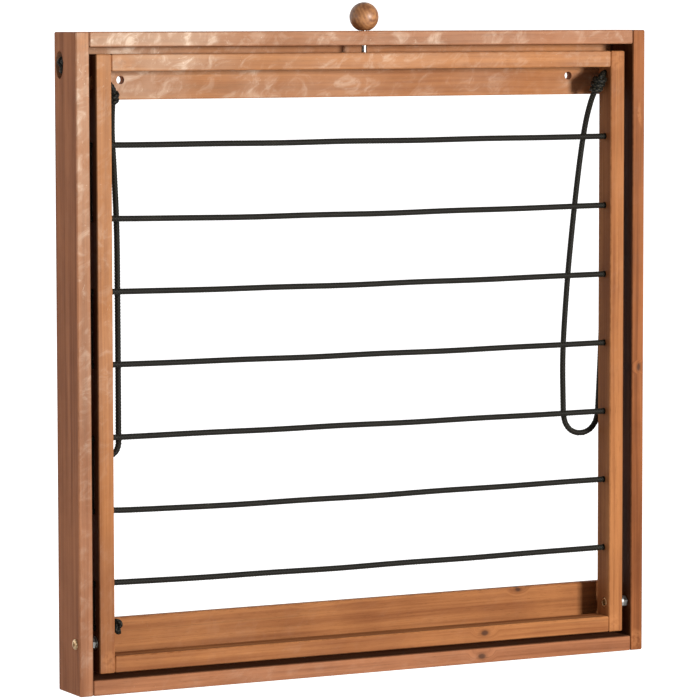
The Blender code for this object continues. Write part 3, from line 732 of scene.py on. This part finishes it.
for side, sign in (("left", -1), ("right", 1)):
    out = Vector((sign, 0, 0))
    low, high = (Vector(corner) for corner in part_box(f"pivot_bolt_{side}"))
    middle = (low + high) / 2
    head_top, shank_end = (high.x, low.x) if sign > 0 else (low.x, high.x)
    head_foot = side_boards[side][1 if sign > 0 else 0][0]
    origin = Vector((head_foot, middle.y, middle.z))
    rise = abs(head_top - head_foot)
    head_radius = (high.z - low.z) / 2
    end = -abs(head_foot - shank_end)
    dome = [(rise * math.sin(math.radians(turn)) * 0.92 + 0.0001,
             head_radius * math.cos(math.radians(turn * 0.72))) for turn in range(0, 91, 15)]
    bolt = turned(f"bolt_{side}", origin, out,
                  [(0.0004, 0.0), (0.0004, 0.0019), (dome[-1][0] - 0.0002, 0.0021), (dome[-1][0], 0.0023),
                   *dome[::-1], (0.0001, 0.0029), (end + 0.0006, 0.0029), (end, 0.0023), (end, 0.0)],
                  aged_brass)
    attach(bolt, "wall_frame")
    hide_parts(f"pivot_bolt_{side}")
    for kind, finish, body, slot_name, sides in (("nut", zinc, "wall_frame", "steel", 6),
                                                 ("washer", zinc, "wall_frame", "steel", 64),
                                                 ("insert", aged_brass, "rack", "brass", 64)):
        low, high = (Vector(corner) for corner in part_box(f"pivot_{kind}_{side}"))
        near, far = (0.0, (high.x - low.x))
        radius = (high.z - low.z) / 2 if sides > 6 else max(high.z - low.z, high.y - low.y) / 2
        rim = 0.12 * (far - near) if kind != "insert" else 0.0007
        hole = 0.0033
        ring = turned(f"{kind}_{side}", Vector((low.x, middle.y, middle.z)), Vector((1, 0, 0)),
                      [(near, hole + 0.0003), (near, radius - rim), (near + rim, radius),
                       (far - rim, radius), (far, radius - rim), (far, hole + 0.0003),
                       (far - 0.0003, hole), (near + 0.0003, hole)],
                      finish, sides, 30.0 if sides > 6 else 20.0)
        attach(ring, body)
        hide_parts(f"pivot_{kind}_{side}")


# Latch: a steel pin dropped through the top rail into the rack, with a turned ball knob.
# The knob is varnished over the same stain, glossy, with rings of grain that close at its poles.
knob_low, knob_high = (Vector(corner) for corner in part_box("latch_knob"))
knob_heart = (knob_low + knob_high) / 2
knob_radius = (knob_high.x - knob_low.x) / 2
varnished, shader = new_finish("varnished_knob")
at = object_place(varnished)
ring_heart = (knob_heart.x + 0.004, knob_heart.y - 0.02, knob_heart.z)
seen = node(varnished, "ShaderNodeVectorMath", {0: at, 1: ring_heart}, operation="SUBTRACT")
rings = node(varnished, "ShaderNodeTexWave",
             {"Vector": stretched(varnished, seen, (0.5, 0.2, 0), (0, 0, 0), (1, 1, 0.25)),
              "Scale": 95.0, "Distortion": 2.2, "Detail": 3.0, "Detail Scale": 1.4}, output=1,
             wave_type="RINGS", rings_direction="Z")
mottle = noise(varnished, at, 150.0, 4.0)
fine = noise(varnished, stretched(varnished, at, (0.5, 0.2, 0), (0, 0, 0), (2200, 2200, 160)), 1.0)
colour = blend_colour(varnished, (rings * 0.12 + mottle).ramp(0.25, 0.85), screen_colour(188, 130, 80),
                      screen_colour(110, 62, 30))
colour = blend_colour(varnished, fine.ramp(0.52, 0.75) * 0.35, colour, screen_colour(84, 44, 22))
plug(varnished, shader["Base Color"], colour)
plug(varnished, shader["Roughness"], 0.42 + 0.16 * mottle)
shader["Coat Weight"].default_value = 0.30
shader["Coat Roughness"].default_value = 0.34
plug(varnished, shader["Normal"],
     node(varnished, "ShaderNodeBump", {"Strength": 0.15, "Distance": 0.0003, "Height": fine + mottle}))
foot = 0.0050
lift = knob_high.z - knob_low.z
foot_turn = math.asin(foot / knob_radius)
ball = [(lift - knob_radius + knob_radius * math.cos(turn), knob_radius * math.sin(turn))
        for turn in (math.radians(3.0) * step for step in range(60)) if turn <= math.pi - foot_turn]
knob = turned("ball_knob", Vector((knob_heart.x, knob_heart.y, knob_low.z)), up,
              [*ball, (0.0004, foot + 0.0002), (0.0, foot - 0.0003), (0.0, 0.0029), (0.0100, 0.0029),
               (0.0100, 0.0)], varnished, 96)
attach(knob, "latch")
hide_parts("latch_knob")
pin_low, pin_high = (Vector(corner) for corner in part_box("latch_pin"))
pin_radius = (pin_high.x - pin_low.x) / 2
length = pin_high.z - pin_low.z
pin = turned("drop_pin", Vector((knob_heart.x, knob_heart.y, pin_low.z)), up,
             [(0.0, 0.0), (0.0, 0.0012), (0.0004, 0.0017), (0.0016, pin_radius - 0.0001),
              (0.0020, pin_radius),
              (length - 0.0004, pin_radius), (length, pin_radius - 0.0004), (length, 0.0)], zinc, 48)
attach(pin, "latch")
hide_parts("latch_pin")


# Light: a white studio. The key is broad, right of the front and about level with the frame, so that
# the rack throws little shadow on the battens; the white surroundings fill the rest.
bpy.context.scene.view_settings.view_transform = "Standard"
world = bpy.data.worlds.new("studio")
world.use_nodes = True
world.node_tree.nodes["Background"].inputs["Color"].default_value = (1.0, 1.0, 1.0, 1.0)
world.node_tree.nodes["Background"].inputs["Strength"].default_value = 0.25
bpy.context.scene.world = world


def lamp(name, at, aim, watts, size):
    light = bpy.data.lights.new(name, "AREA")
    light.energy = watts
    light.size = size
    made = bpy.data.objects.new(name, light)
    made.location = at
    made.rotation_euler = (Vector(aim) - Vector(at)).to_track_quat("-Z", "Y").to_euler()
    bpy.context.scene.collection.objects.link(made)


lamp("key", (0.95, -3.0, 0.15), (0, 0, -0.27), 119, 0.55)
lamp("side_fill", (-3.0, -0.10, -0.1), (-0.3, 0, -0.27), 19, 1.2)

floor_mesh = bpy.data.meshes.new("floor")
FLOOR = -2.6
floor_mesh.from_pydata([(-30, -30, FLOOR), (30, -30, FLOOR), (30, 30, FLOOR), (-30, 30, FLOOR)], [],
                       [(0, 1, 2, 3)])
pale_floor, shader = new_finish("pale_floor")
plug(pale_floor, shader["Base Color"],
     blend_colour(pale_floor, noise(pale_floor, object_place(pale_floor), 0.8, 3.0),
                  (0.90, 0.90, 0.90), (0.94, 0.94, 0.94)))
shader["Roughness"].default_value = 0.9
add_piece("floor", floor_mesh, pale_floor)

backdrop_mesh = bpy.data.meshes.new("backdrop")
# The backdrop stands far enough off that a camera behind the rack is in front of it.
BACKDROP = 8
backdrop_mesh.from_pydata([(-22, BACKDROP, FLOOR), (26, BACKDROP, FLOOR), (26, BACKDROP, 9),
                           (-22, BACKDROP, 9)], [], [(0, 1, 2, 3)])
white_backdrop, shader = new_finish("white_backdrop")
shader["Base Color"].default_value = (0.9, 0.9, 0.9, 1.0)
shader["Emission Color"].default_value = (1.0, 1.0, 1.0, 1.0)
shader["Emission Strength"].default_value = 0.85
add_piece("backdrop", backdrop_mesh, white_backdrop)
